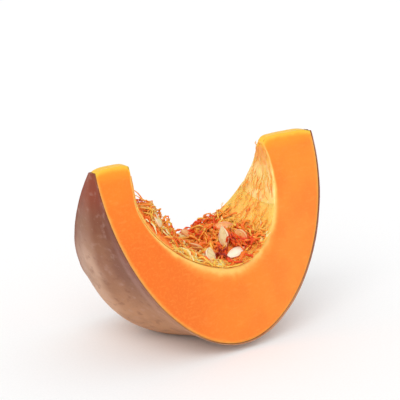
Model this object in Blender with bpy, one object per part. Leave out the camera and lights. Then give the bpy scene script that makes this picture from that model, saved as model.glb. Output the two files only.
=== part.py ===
"""A wedge of ribbed pumpkin, cut through the stem and blossom ends and standing on its rind.

The pumpkin's axis runs along X. A point of the fruit is given by its place along the axis, its distance
from the axis and its angle round the axis, which is 0 straight down and grows towards the front (-Y).
The two cut faces are planes through the axis. Metres, +Z up, origin under the middle of the slice.
"""

import math

import bmesh
import bpy
import numpy as np
from mathutils import Matrix, Vector

# The fruit that the slice was cut from.
STEM_HALF = 0.0955  # widest girth to the stem end, along the axis
BLOSSOM_HALF = 0.0938  # widest girth to the blossom end, along the axis
RADIUS = 0.1348  # axis to the rind in a groove, at the widest girth
ROUNDNESS = 1.81  # exponent of the rind's outline; 2 is an ellipse
RIB_COUNT = 10
GROOVE_ANGLE = 6.0  # degrees from straight down to the groove nearest the front face
RIB_GIRTH = 0.0060  # how far a rib stands out at the widest girth
RIB_STEM = 0.0050  # how far it stands out on the shoulder near the stem
RIB_BLOSSOM = 0.0082  # how far it stands out on the shoulder near the blossom end
BLOSSOM_DIP = 0.0105  # how far the blossom end is sunk in
LEAN = 0.0265  # how far the girth leans towards the stem for each radian behind the front face

# The knife cuts.
FRONT_ANGLE = 16.0  # degrees from straight down to the front face
BACK_ANGLE = 28.0  # degrees from straight down to the back face
CREST_DROP = 0.0065  # axis to the edges of the narrow strip along the tops of both arms
CREST_ARCH = 0.0020  # how far that strip is rounded up between its ends
REST_FLAT = 0.0013  # depth of rind pressed flat where the slice stands

# The seed cavity.
CAVITY_MIDDLE = 0.0  # its deepest place, along the axis from the widest girth
CAVITY_STEM = 0.0688  # that place to the cavity wall near the stem
CAVITY_BLOSSOM = 0.0455  # that place to the cavity wall near the blossom end
CAVITY_DEPTH = 0.0862  # axis to the cavity floor
CAVITY_WAIST = 0.0310  # axis to where the cavity is longest
STEM_CURVE = 1.62  # exponents of its lower outline on each side
BLOSSOM_CURVE = 2.10
STEM_RISE = 0.300  # heights of the ellipses that carry its walls up past the waist
BLOSSOM_RISE = 0.0485

# The pulp that lines the floor of the cavity.
PULP_STEM_END = -2.0  # degrees along the cavity outline where the pulp starts and ends
PULP_BLOSSOM_END = 160.0
PULP_SET_BACK = 0.0020  # cut faces to the pulp
PULP_BED = 0.0040  # thickness away from its edges and heaps
PULP_EDGE = 0.0012  # thickness at its edges

# Each heap of pulp: place along the axis from the cavity's deepest place, its angle round the axis in
# degrees, how far it spreads along the axis and, in degrees, round it, and its height.
PULP_HEAPS = (
    (0.0150, 1.0, 0.0260, 17.0, 0.0105),
    (-0.0540, 2.0, 0.0200, 15.0, 0.0145),
)

# The seeds, all of one size.
SEED_LENGTH = 0.0160
SEED_WIDTH = 0.0090
SEED_THICKNESS = 0.0030
SEED_BURIED = 0.0012  # how deep the middle of a lying seed sits below the pulp's surface
GAP = 0.0003  # clearance between touching pieces

# Each seed: place along the axis from the cavity's deepest place, angle round the axis in degrees,
# then its turn on the surface, how far its tip is raised, and its roll, all in degrees.
SEED_PLACES = (
    (0.0095, 11.0, 175.0, -5.0, -30.0),
    (0.0140, 1.0, 50.0, 45.0, -20.0),
    (-0.0120, 8.0, 60.0, 35.0, 20.0),
    (0.0030, -22.5, 175.0, 30.0, -15.0),
    (-0.0600, 8.0, 105.0, 35.0, -15.0),
    (0.0260, 5.0, 75.0, 15.0, -30.0),
    (-0.0110, -5.0, 185.0, 25.0, 40.0),
    (0.0270, -12.0, 130.0, 20.0, -15.0),
    (-0.0370, -6.0, 35.0, 15.0, 15.0),
)

RIND_STEPS = 40
CAVITY_STEPS = 32
CREST_STEPS = 8
TURN_STEPS = 16
PULP_STEPS = 26
PULP_TURN_STEPS = 12
SEED_SIDES = 14
SEED_RINGS = 5


def clear_scene():
    for obj in list(bpy.data.objects):
        bpy.data.objects.remove(obj, do_unlink=True)


def principled(name, colour, roughness, subsurface=0.0):
    material = bpy.data.materials.new(name)
    material.use_nodes = True
    shader = material.node_tree.nodes["Principled BSDF"]
    shader.inputs["Base Color"].default_value = (*colour, 1.0)
    shader.inputs["Roughness"].default_value = roughness
    shader.inputs["Metallic"].default_value = 0.0
    shader.inputs["Subsurface Weight"].default_value = subsurface
    return material


def power_arc(angle, exponent):
    """The cosine and sine of an arc whose outline is |x|^exponent + |y|^exponent = 1."""
    cosine, sine = np.cos(angle), np.sin(angle)
    rounded = 2.0 / exponent
    return np.sign(cosine) * np.abs(cosine) ** rounded, np.abs(sine) ** rounded


def rind_outline(turn):
    """Places along the axis and distances from it of the rind, from stem to blossom end, at one turn."""
    angle = np.linspace(0.0, math.pi, RIND_STEPS + 1)
    cosine, sine = power_arc(angle, ROUNDNESS)
    half = np.where(cosine > 0.0, STEM_HALF, BLOSSOM_HALF)
    along, out = -half * cosine, RADIUS * sine
    normal_along, normal_out = along / half**2, out / RADIUS**2
    length = np.hypot(normal_along, normal_out)
    stem_share = (1.0 + np.cos(angle)) / 2.0
    shoulder = RIB_STEM * stem_share + RIB_BLOSSOM * (1.0 - stem_share)
    shoulder = shoulder * np.sin(angle) ** 0.7 * np.abs(np.cos(angle))
    rib = (1.0 - math.cos(RIB_COUNT * (turn - math.radians(GROOVE_ANGLE)))) / 2.0
    stands_out = rib * (shoulder + RIB_GIRTH * np.sin(angle) ** 2)
    along = along + stands_out * normal_along / length
    along = along - LEAN * (math.radians(FRONT_ANGLE) - turn) * np.sin(angle)
    along = along - np.where(cosine < 0.0, BLOSSOM_DIP * (1.0 - np.sin(angle)) ** 2, 0.0)
    out = out + stands_out * normal_out / length
    return along, np.maximum(out, CREST_DROP / math.cos(turn))


def cavity_point(angle):
    """The cavity wall at angles along it: 0 is the stem wall, pi / 2 the floor, pi the other wall."""
    stem_cosine, stem_sine = power_arc(angle, STEM_CURVE)
    blossom_cosine, blossom_sine = power_arc(angle, BLOSSOM_CURVE)
    depth = CAVITY_DEPTH - CAVITY_WAIST
    choices = [angle < 0.0, angle < math.pi / 2.0, angle <= math.pi]
    along = np.select(
        choices,
        [-CAVITY_STEM * np.cos(angle), -CAVITY_STEM * stem_cosine, -CAVITY_BLOSSOM * blossom_cosine],
        -CAVITY_BLOSSOM * np.cos(angle),
    )
    out = np.select(
        choices,
        [STEM_RISE * np.sin(angle), depth * stem_sine, depth * blossom_sine],
        BLOSSOM_RISE * np.sin(angle),
    )
    return CAVITY_MIDDLE + along, CAVITY_WAIST + out


def cavity_outline(turn):
    """The cavity wall from the crest near the stem, along the floor, to the crest near the blossom end."""
    rise = CAVITY_WAIST - CREST_DROP / math.cos(turn)
    first = -math.asin(rise / STEM_RISE)
    last = math.pi + math.asin(rise / BLOSSOM_RISE)
    return cavity_point(np.linspace(first, last, CAVITY_STEPS + 1))


def crest_outline(start, end, turn):
    """The top of an arm from one place along the axis to another, without its ends."""
    share = np.linspace(0.0, 1.0, CREST_STEPS + 1)[1:-1]
    rise = CREST_ARCH * (1.0 - (2.0 * share - 1.0) ** 4)
    return start + (end - start) * share, (CREST_DROP - rise) / math.cos(turn)


def around(along, out, turn):
    """Points in the frame of the axis, from places along it, distances from it and turns."""
    turn = np.broadcast_to(turn, out.shape)
    return np.stack([along, -out * np.sin(turn), -out * np.cos(turn)], axis=-1)


def mesh_object(name, points, faces, material):
    mesh = bpy.data.meshes.new(name)
    mesh.from_pydata(points.reshape(-1, 3).tolist(), [], faces)
    mesh.validate()
    mesh.materials.append(material)
    shape = bmesh.new()
    shape.from_mesh(mesh)
    bmesh.ops.recalc_face_normals(shape, faces=shape.faces)
    shape.to_mesh(mesh)
    shape.free()
    mesh.shade_smooth()
    mesh.set_sharp_from_angle(angle=math.radians(40.0))
    obj = bpy.data.objects.new(name, mesh)
    bpy.context.scene.collection.objects.link(obj)
    return obj


def loft_faces(stations, count):
    """Quads between closed loops of points, with one face over each end."""
    faces = [tuple(range(count)), tuple(range((stations - 1) * count, stations * count))]
    for station in range(stations - 1):
        start = station * count
        for i in range(count):
            after = (i + 1) % count
            faces.append((start + i, start + after, start + count + after, start + count + i))
    return faces


def build_flesh(material):
    """The slice: a closed outline of rind, crest, cavity and crest, carried round the axis from cut to cut."""
    turns = np.radians(np.linspace(-BACK_ANGLE, FRONT_ANGLE, TURN_STEPS + 1))
    loops = []
    for turn in turns:
        rind_along, rind_out = rind_outline(turn)
        hollow_along, hollow_out = cavity_outline(turn)
        blossom = crest_outline(rind_along[-1], hollow_along[-1], turn)
        stem = crest_outline(hollow_along[0], rind_along[0], turn)
        along = np.concatenate([rind_along, blossom[0], hollow_along[::-1], stem[0]])
        out = np.concatenate([rind_out, blossom[1], hollow_out[::-1], stem[1]])
        loops.append(around(along, out, turn))
    points = np.stack(loops)
    floor = points[..., 2].min() + REST_FLAT
    points[..., 2] = np.maximum(points[..., 2], floor)
    return mesh_object("pumpkin_flesh", points, loft_faces(*points.shape[:2]), material)


def pulp_turns():
    """The turns of the pulp's front and back edges, set back from the cut faces."""
    set_back = PULP_SET_BACK / CAVITY_DEPTH
    return -math.radians(BACK_ANGLE) + set_back, math.radians(FRONT_ANGLE) - set_back


def pulp_thickness(angle, turn):
    """The pulp thins towards all four of its edges, and is heaped up in places."""
    start, end = math.radians(PULP_STEM_END), math.radians(PULP_BLOSSOM_END)
    back, front = pulp_turns()
    share = np.clip((angle - start) / (end - start), 0.0, 1.0)
    turn_share = np.clip((turn - back) / (front - back), 0.0, 1.0)
    inside = np.sin(math.pi * share) ** 0.5 * np.sin(math.pi * turn_share) ** 0.2
    along = cavity_point(angle)[0] - CAVITY_MIDDLE
    heaped = PULP_BED - PULP_EDGE
    for place, heap_turn, spread, turn_spread, height in PULP_HEAPS:
        away = (along - place) / spread
        turned = (turn - math.radians(heap_turn)) / math.radians(turn_spread)
        heaped = heaped + height * np.exp(-(away**2) - turned**2)
    return PULP_EDGE + inside * heaped


def pulp_surface(angle, turn, raised):
    """Points raised above the cavity wall towards the middle of the cavity."""
    step = 1e-4
    along, out = cavity_point(angle)
    next_along, next_out = cavity_point(angle + step)
    length = np.hypot(next_along - along, next_out - out)
    inward_along = (next_out - out) / length
    inward_out = -(next_along - along) / length
    return around(along + raised * inward_along, out + raised * inward_out, turn)


def build_pulp(material):
    """A lining between the cavity wall and its own upper surface, closed all round."""
    angles = np.radians(np.linspace(PULP_STEM_END, PULP_BLOSSOM_END, PULP_STEPS + 1))
    turns = np.linspace(*pulp_turns(), PULP_TURN_STEPS + 1)
    angle, turn = np.meshgrid(angles, turns)
    top = pulp_surface(angle, turn, GAP + pulp_thickness(angle, turn))
    bottom = pulp_surface(angle, turn, np.full(angle.shape, 2.0 * GAP))
    points = np.concatenate([top, bottom[:, ::-1]], axis=1)
    return mesh_object("pulp", points, loft_faces(*points.shape[:2]), material)


def seed_points(grow):
    """A flattened teardrop: rings of points from its round end to its pointed tip, grown all round."""
    share = np.linspace(0.0, 1.0, SEED_RINGS + 2)[1:-1]
    side = np.linspace(0.0, 2.0 * math.pi, SEED_SIDES, endpoint=False)
    width = np.sin(math.pi * share**1.25) ** 0.7 * (1.0 - 0.18 * share)
    place = (share - 0.5) * (SEED_LENGTH + 2.0 * grow)
    half_width = width * (SEED_WIDTH / 2.0 + grow)
    half_thick = width**0.6 * (SEED_THICKNESS / 2.0 + grow)
    rings = np.stack(
        [
            np.broadcast_to(place[:, None], (SEED_RINGS, SEED_SIDES)),
            half_width[:, None] * np.cos(side),
            half_thick[:, None] * np.sin(side),
        ],
        axis=-1,
    )
    reach = SEED_LENGTH / 2.0 + grow
    return np.concatenate([rings.reshape(-1, 3), [[-reach, 0.0, 0.0], [reach, 0.0, 0.0]]])


def seed_faces():
    """Quads between the rings and a fan of triangles at each end."""
    round_end = SEED_RINGS * SEED_SIDES
    last = round_end - SEED_SIDES
    faces = []
    for i in range(SEED_SIDES):
        after = (i + 1) % SEED_SIDES
        faces.append((round_end, after, i))
        faces.append((round_end + 1, last + i, last + after))
        for ring in range(SEED_RINGS - 1):
            start = ring * SEED_SIDES
            faces.append((start + i, start + after, start + SEED_SIDES + after, start + SEED_SIDES + i))
    return faces


def seed_pose(place, turn_degrees, yaw, pitch, roll):
    """Where a seed lies on the pulp: its place, then its turn on the surface, lifted tip and roll."""
    turn = math.radians(turn_degrees)
    angles = np.linspace(0.0, math.pi, 721)
    angle = np.interp(CAVITY_MIDDLE + place, cavity_point(angles)[0], angles)
    raised = GAP + pulp_thickness(angle, turn) - SEED_BURIED
    raised += math.sin(math.radians(pitch)) * SEED_LENGTH * 0.30
    point = Vector(pulp_surface(angle, turn, raised))
    below = Vector(pulp_surface(angle, turn, 0.0))
    up = (point - below).normalized()
    forward = Vector((1.0, 0.0, 0.0))
    forward = (forward - forward.project(up)).normalized()
    side = up.cross(forward)
    frame = Matrix((forward, side, up)).transposed()
    turned = Matrix.Rotation(math.radians(yaw), 3, "Z") @ Matrix.Rotation(-math.radians(pitch), 3, "Y")
    turned = turned @ Matrix.Rotation(math.radians(roll), 3, "X")
    return Matrix.Translation(point) @ (frame @ turned).to_4x4()


def build_seeds(pulp, material, hidden_material):
    """The seeds, and the pocket that each one leaves in the pulp."""
    seeds = []
    for number, place in enumerate(SEED_PLACES, start=1):
        pose = seed_pose(*place)
        seed = mesh_object(f"seed_{number:02d}", seed_points(0.0), seed_faces(), material)
        seed.matrix_world = pose
        seeds.append(seed)
        pocket = mesh_object(f"pocket_{number:02d}", seed_points(GAP), seed_faces(), hidden_material)
        pocket.matrix_world = pose
        pocket.hide_render = True
        pocket.display_type = "WIRE"
        seeds.append(pocket)
        cut = pulp.modifiers.new(f"pocket_{number:02d}", "BOOLEAN")
        cut.operation = "DIFFERENCE"
        cut.object = pocket
    return seeds


def stand(pieces):
    """Stands the slice on the ground with the middle of its box over the origin."""
    rest = bpy.data.objects.new("rest_pose", None)
    bpy.context.scene.collection.objects.link(rest)
    flesh = pieces[0].data
    points = np.empty(len(flesh.vertices) * 3, np.float32)
    flesh.vertices.foreach_get("co", points)
    points = points.reshape(-1, 3)
    low, high = points.min(axis=0), points.max(axis=0)
    rest.location = (-(low[0] + high[0]) / 2.0, -(low[1] + high[1]) / 2.0, -low[2])
    for piece in pieces:
        piece.parent = rest


def main():
    clear_scene()
    flesh = build_flesh(principled("pumpkin_flesh", (0.93, 0.27, 0.03), 0.45, 0.1))
    pulp = build_pulp(principled("pulp", (0.86, 0.20, 0.02), 0.35, 0.2))
    shell = principled("seed_hull", (0.90, 0.78, 0.55), 0.40)
    seeds = build_seeds(pulp, shell, principled("pocket", (0.5, 0.5, 0.5), 0.5))
    stand([flesh, pulp, *seeds])


main()
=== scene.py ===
"""A wedge of ribbed pumpkin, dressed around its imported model: cut flesh, rind, stringy pulp and seeds.

Everything is in metres, +Z up. A point of the fruit is given by its place along the pumpkin's axis, its
distance from that axis and its turn round it, which is 0 straight down and grows towards the front (-Y).
"""

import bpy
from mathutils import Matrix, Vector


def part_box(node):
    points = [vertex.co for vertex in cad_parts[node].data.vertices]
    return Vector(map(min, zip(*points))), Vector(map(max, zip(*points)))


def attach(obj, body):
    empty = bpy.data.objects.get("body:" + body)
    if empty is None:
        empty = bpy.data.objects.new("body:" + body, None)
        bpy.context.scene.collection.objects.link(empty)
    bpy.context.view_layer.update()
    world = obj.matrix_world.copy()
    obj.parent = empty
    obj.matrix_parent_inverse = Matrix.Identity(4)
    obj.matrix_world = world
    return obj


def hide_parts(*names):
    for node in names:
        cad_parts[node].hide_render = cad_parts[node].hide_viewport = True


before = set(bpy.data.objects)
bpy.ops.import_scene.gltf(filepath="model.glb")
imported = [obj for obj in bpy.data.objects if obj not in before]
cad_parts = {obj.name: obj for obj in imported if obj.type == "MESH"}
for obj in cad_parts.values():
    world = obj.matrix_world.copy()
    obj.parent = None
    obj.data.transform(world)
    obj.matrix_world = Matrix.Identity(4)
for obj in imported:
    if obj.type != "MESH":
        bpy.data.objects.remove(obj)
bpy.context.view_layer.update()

import itertools
import logging
import math
from dataclasses import dataclass, field, replace
from enum import Enum
from typing import Any

import bmesh
import bpy
import numpy as np
from mathutils import Vector

logging.basicConfig(level=logging.INFO, format="%(message)s")
log = logging.getLogger("pumpkin_slice")

Array = np.ndarray
MM = 0.001
BODY = "root"


# ---------------------------------------------------------------- numbers and noise


def linear(colour: str) -> tuple[float, float, float, float]:
    """Turns an sRGB hex colour into linear light.

    Args:
        colour: six hex digits after a hash.

    Returns:
        Red, green, blue and an alpha of 1.
    """
    parts = [int(colour[i : i + 2], 16) / 255.0 for i in (1, 3, 5)]
    light = [part / 12.92 if part <= 0.04045 else ((part + 0.055) / 1.055) ** 2.4 for part in parts]
    return (*light, 1.0)


def smooth(value: Array, start: float, end: float) -> Array:
    """A soft step: 0 at start and 1 at end, with level ends, by 3 t^2 - 2 t^3.

    Args:
        value: where to read the step.
        start: the value that gives 0, which may be above the end.
        end: the value that gives 1.

    Returns:
        The step's height at each value.
    """
    share = np.clip((value - start) / (end - start), 0.0, 1.0)
    return share * share * (3.0 - 2.0 * share)


def lattice_noise(places: Array, seed: int) -> Array:
    """Smooth noise: each whole-numbered place has a hashed value, and the values between are blended.

    Args:
        places: points, the last axis holding 2 or 3 coordinates in cells.
        seed: picks one noise out of many.

    Returns:
        Values from -1 to 1.
    """
    cell = np.floor(places).astype(np.int64)
    inside = places - cell
    inside = inside * inside * (3.0 - 2.0 * inside)
    steps = np.array([73856093, 19349663, 83492791][: places.shape[-1]], dtype=np.int64)
    total = np.zeros(places.shape[:-1])
    for corner in itertools.product((0, 1), repeat=places.shape[-1]):
        key = ((cell + corner) * steps).sum(axis=-1) + seed * 668265263
        key = key.astype(np.uint64) & np.uint64(0xFFFFFFFF)
        for shift, factor in ((15, 0x2C1B3C6D), (12, 0x297A2D39)):
            key = ((key ^ (key >> np.uint64(shift))) * np.uint64(factor)) & np.uint64(0xFFFFFFFF)
        key = key ^ (key >> np.uint64(15))
        share = np.where(np.array(corner) == 1, inside, 1.0 - inside).prod(axis=-1)
        total += share * key.astype(float) / 0xFFFFFFFF
    return 2.0 * total - 1.0


def layered_noise(places: Array, seed: int, octaves: int = 3) -> Array:
    """Noise with finer noise on it: each octave is twice as fine and half as strong.

    Args:
        places: points, in cells of the coarsest octave.
        seed: picks one noise out of many.
        octaves: how many noises are added.

    Returns:
        Values from -1 to 1.
    """
    total = sum(lattice_noise(places * 2**i, seed + i) / 2**i for i in range(octaves))
    return total / (2.0 - 2.0 ** (1 - octaves))


def ridged_noise(places: Array, seed: int, sharpness: int = 3) -> Array:
    """Thin raised lines where the noise crosses zero, by (1 - |noise|) to the power of the sharpness.

    Args:
        places: points, in cells.
        seed: picks one noise out of many.
        sharpness: how thin the lines are.

    Returns:
        1 on a line, falling towards 0 between them.
    """
    return (1.0 - np.abs(layered_noise(places, seed, 2))) ** sharpness


def unit(vectors: Array) -> Array:
    """The vectors along the last axis, each made one long."""
    return vectors / np.maximum(np.linalg.norm(vectors, axis=-1, keepdims=True), 1e-12)


# ---------------------------------------------------------------- meshes


def grid_faces(rows: int, columns: int, wrap: bool = False) -> Array:
    """The quads of a grid of points, as whole arrays of point numbers.

    Args:
        rows: how many rows of points.
        columns: how many points in a row.
        wrap: whether the last column joins the first.

    Returns:
        One row of four point numbers for each quad.
    """
    number = np.arange(rows * columns).reshape(rows, columns)
    after = np.roll(number, -1, axis=1)
    keep = slice(None) if wrap else slice(0, columns - 1)
    quads = [number[:-1, keep], after[:-1, keep], after[1:, keep], number[1:, keep]]
    return np.stack(quads, axis=-1).reshape(-1, 4)


@dataclass
class Patch:
    """Points with a value for each under each attribute name, and the faces between them."""

    points: Array
    marks: dict[str, Array] = field(default_factory=dict)
    faces: tuple[Array, ...] = ()
    material: int = 0

    def __post_init__(self) -> None:
        """Takes the points as a grid when no faces are given."""
        if not self.faces:
            self.faces = (grid_faces(*self.points.shape[:2]),)


def make_piece(
    name: str,
    patches: list[Patch],
    materials: list[bpy.types.Material],
    merge: float = 0.0,
    sharp: float = 180.0,
) -> bpy.types.Object:
    """Puts patches into one mesh object, joins their borders and turns every face outwards.

    Args:
        name: the piece's name.
        patches: points with their attribute values and faces.
        materials: what each patch's material number stands for.
        merge: how close two border points are before they become one.
        sharp: angle in degrees past which an edge is shaded sharp.

    Returns:
        The object, at the origin, with its place in its mesh.
    """
    offsets = np.cumsum([0] + [patch.points.size // 3 for patch in patches])
    points = np.concatenate([patch.points.reshape(-1, 3) for patch in patches])
    groups = [
        (group + offset, patch.material) for offset, patch in zip(offsets, patches) for group in patch.faces
    ]
    sizes = np.concatenate([np.full(len(group), group.shape[1]) for group, _ in groups])
    corners = np.concatenate([group.ravel() for group, _ in groups]).astype(np.int32)
    mesh = bpy.data.meshes.new(name)
    mesh.vertices.add(len(points))
    mesh.vertices.foreach_set("co", points.astype(np.float32).ravel())
    mesh.loops.add(len(corners))
    mesh.loops.foreach_set("vertex_index", corners)
    mesh.polygons.add(len(sizes))
    starts = np.concatenate([[0], np.cumsum(sizes)[:-1]]).astype(np.int32)
    mesh.polygons.foreach_set("loop_start", starts)
    slots = np.concatenate([np.full(len(group), slot) for group, slot in groups])
    mesh.polygons.foreach_set("material_index", slots.astype(np.int32))
    mesh.update(calc_edges=True)
    for mark in patches[0].marks:
        values = np.concatenate([patch.marks[mark].ravel() for patch in patches])
        mesh.attributes.new(mark, "FLOAT", "POINT").data.foreach_set("value", values.astype(np.float32))
    for material in materials:
        mesh.materials.append(material)
    shape = bmesh.new()
    shape.from_mesh(mesh)
    if merge:
        bmesh.ops.remove_doubles(shape, verts=shape.verts, dist=merge)
    bmesh.ops.recalc_face_normals(shape, faces=shape.faces)
    shape.to_mesh(mesh)
    shape.free()
    mesh.shade_smooth()
    if sharp < 180.0:
        mesh.set_sharp_from_angle(angle=math.radians(sharp))
    piece = bpy.data.objects.new(name, mesh)
    bpy.context.scene.collection.objects.link(piece)
    return piece


def closed_sheet(top: Array, bottom: Array, marks: dict[str, Array]) -> list[Patch]:
    """Closes a sheet between two grids: a loop over its top and bottom, and a strip along each side.

    Args:
        top: the upper grid's points.
        bottom: the lower grid's points.
        marks: attribute values, the same above and below.

    Returns:
        The loop's patch and the two strips' patches.
    """
    count = top.shape[1]
    loop = np.concatenate([top, bottom[:, ::-1]], axis=1)
    around = {name: np.concatenate([value, value[:, ::-1]], axis=1) for name, value in marks.items()}
    patches = [Patch(loop, around, (grid_faces(*loop.shape[:2], wrap=True),))]
    for row in (0, -1):
        strip = {name: np.stack([value[row], value[row]]) for name, value in marks.items()}
        patches.append(Patch(np.stack([loop[row, :count], loop[row, count:][::-1]]), strip))
    return patches


def place_piece(piece: bpy.types.Object, slot: str, *nodes: str) -> bpy.types.Object:
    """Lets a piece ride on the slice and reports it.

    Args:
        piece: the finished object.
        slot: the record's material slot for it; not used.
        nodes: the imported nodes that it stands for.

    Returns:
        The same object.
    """
    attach(piece, BODY)
    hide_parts(*nodes)
    log.info("%s: %d faces", piece.name, len(piece.data.polygons))
    return piece


def tubes(paths: Array, radii: Array, sides: int, tint: Array, flat: float = 1.0) -> Patch:
    """Round strings along many paths at once: each point of a path carries a ring square to the path.

    Args:
        paths: points, by string, station and coordinate.
        radii: half the thickness, by string and station.
        sides: how many points a ring has.
        tint: a colour value, by string and station.
        flat: how many times wider than thick.

    Returns:
        The rings' points, the quads between them and a face over each end.
    """
    count, stations = paths.shape[:2]
    tangent = unit(np.gradient(paths, axis=1))
    chord = unit(paths[:, -1] - paths[:, 0])
    across = np.stack([-chord[:, 1], chord[:, 2], chord[:, 0]], axis=-1)
    reference = unit(np.cross(chord, across))[:, None, :]
    side = unit(np.cross(tangent, reference))
    up = np.cross(side, tangent)
    turn = np.linspace(0.0, 2.0 * math.pi, sides, endpoint=False)
    ring = side[:, :, None, :] * np.cos(turn)[:, None] * flat + up[:, :, None, :] * np.sin(turn)[:, None]
    points = paths[:, :, None, :] + ring * radii[:, :, None, None]
    first = np.arange(count)[:, None] * stations * sides
    quads = (grid_faces(stations, sides, wrap=True)[None] + first[:, :, None]).reshape(-1, 4)
    ends = np.concatenate([np.arange(sides)[::-1] + first, np.arange(sides) + first + (stations - 1) * sides])
    tints = np.broadcast_to(tint[:, :, None], points.shape[:3])
    return Patch(points, {"tint": tints}, (quads, ends))


# ---------------------------------------------------------------- finishes


def add(
    tree: bpy.types.NodeTree,
    kind: str,
    settings: dict[str, Any] | None = None,
    values: dict[Any, Any] | None = None,
    links: dict[Any, Any] | None = None,
) -> bpy.types.Node:
    """Adds one node with its settings, socket values and links.

    Args:
        tree: the material's nodes.
        kind: Blender's name for the node.
        settings: the node's own properties.
        values: socket values, by the socket's name or number.
        links: outputs that feed its sockets, by the socket's name or number.

    Returns:
        The node.
    """
    node = tree.nodes.new(kind)
    for name, value in (settings or {}).items():
        setattr(node, name, value)
    for socket, value in (values or {}).items():
        node.inputs[socket].default_value = value
    for socket, output in (links or {}).items():
        tree.links.new(output, node.inputs[socket])
    return node


class From(Enum):
    """Where a pattern's value comes from."""

    ATTRIBUTE = "a value stored on the mesh"
    NOISE = "cloudy noise"
    CELLS = "distance to scattered points"
    AXIS = "a coordinate"


@dataclass(frozen=True)
class Source:
    """One pattern over the surface, from 0 to 1 or in the units of what it reads."""

    kind: From
    name: str = ""
    size: float = 10.0  # millimetres across one feature
    detail: float = 3.0
    stretch: tuple[float, float, float] = (1.0, 1.0, 1.0)  # how many times finer along each axis
    wobble: float = 0.0  # how far noise shifts an attribute's value either way
    wobble_size: float = 6.0  # millimetres

    def output(self, tree: bpy.types.NodeTree, coordinates: bpy.types.Node) -> bpy.types.NodeSocket:
        """Builds the pattern's nodes.

        Args:
            tree: the material's nodes.
            coordinates: the node that gives Object coordinates.

        Returns:
            The output that carries the pattern.
        """
        place = coordinates.outputs["Object"]
        if self.kind is From.AXIS:
            split = add(tree, "ShaderNodeSeparateXYZ", links={"Vector": place})
            return split.outputs[self.name]
        if self.kind is From.ATTRIBUTE:
            stored = add(tree, "ShaderNodeAttribute", {"attribute_name": self.name})
            if not self.wobble:
                return stored.outputs["Fac"]
            scale = 1.0 / (self.wobble_size * MM)
            cloud = add(tree, "ShaderNodeTexNoise", values={"Scale": scale}, links={"Vector": place})
            values = {1: 2.0 * self.wobble, 2: -self.wobble}
            shift = add(tree, "ShaderNodeMath", {"operation": "MULTIPLY_ADD"}, values, {0: cloud.outputs[0]})
            links = {0: stored.outputs["Fac"], 1: shift.outputs[0]}
            return add(tree, "ShaderNodeMath", {"operation": "ADD"}, links=links).outputs[0]
        mapped = add(tree, "ShaderNodeMapping", values={"Scale": self.stretch}, links={"Vector": place})
        scale = 1.0 / (self.size * MM)
        links = {"Vector": mapped.outputs["Vector"]}
        if self.kind is From.CELLS:
            return add(tree, "ShaderNodeTexVoronoi", values={"Scale": scale}, links=links).outputs["Distance"]
        values = {"Scale": scale, "Detail": self.detail}
        return add(tree, "ShaderNodeTexNoise", values=values, links=links).outputs[0]


@dataclass(frozen=True)
class Layer:
    """A colour laid over those before it, where its source passes from one value to another."""

    colour: str
    source: str
    start: float
    end: float
    strength: float = 1.0


@dataclass(frozen=True)
class Finish:
    """A moist plant surface: layers of colour, fine relief, and how it takes the light."""

    name: str
    base: str
    sources: dict[str, Source]
    layers: tuple[Layer, ...]
    bumps: tuple[tuple[str, float], ...] = ()  # source and its height in millimetres
    roughness: float = 0.45
    ior: float = 1.40
    subsurface: float = 0.0
    glow: tuple[float, float, float] = (4.0, 1.6, 0.6)  # how far red, green and blue travel, millimetres
    coat: float = 0.0
    coat_roughness: float = 0.12
    transmission: float = 0.0

    def make(self) -> bpy.types.Material:
        """Builds the material: each layer is a soft mask that mixes its colour in.

        Returns:
            The material.
        """
        material = bpy.data.materials.new(self.name)
        material.use_nodes = True
        tree = material.node_tree
        shader = tree.nodes["Principled BSDF"]
        coordinates = add(tree, "ShaderNodeTexCoord")
        outputs = {name: source.output(tree, coordinates) for name, source in self.sources.items()}
        under, over, mixed = 6, 7, 2  # a colour Mix node's two inputs and its output
        paint = None
        for layer in self.layers:
            span = {"From Min": layer.start, "From Max": layer.end, "To Min": 0.0, "To Max": layer.strength}
            settings = {"interpolation_type": "SMOOTHSTEP"}
            mask = add(tree, "ShaderNodeMapRange", settings, span, {"Value": outputs[layer.source]})
            colours = {under: linear(self.base), over: linear(layer.colour)}
            links = {0: mask.outputs[0]} | ({under: paint} if paint else {})
            mix = add(tree, "ShaderNodeMix", {"data_type": "RGBA"}, colours, links)
            paint = mix.outputs[mixed]
        tree.links.new(paint, shader.inputs["Base Color"])
        normal = None
        for name, height in self.bumps:
            links = {"Height": outputs[name]} | ({"Normal": normal} if normal else {})
            values = {"Distance": height * MM, "Strength": 1.0}
            normal = add(tree, "ShaderNodeBump", values=values, links=links).outputs["Normal"]
        if normal:
            tree.links.new(normal, shader.inputs["Normal"])
        shader.inputs["Roughness"].default_value = self.roughness
        shader.inputs["IOR"].default_value = self.ior
        shader.inputs["Subsurface Weight"].default_value = self.subsurface
        shader.inputs["Subsurface Radius"].default_value = self.glow
        shader.inputs["Subsurface Scale"].default_value = MM
        shader.inputs["Coat Weight"].default_value = self.coat
        shader.inputs["Coat Roughness"].default_value = self.coat_roughness
        shader.inputs["Transmission Weight"].default_value = self.transmission
        return material


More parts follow.
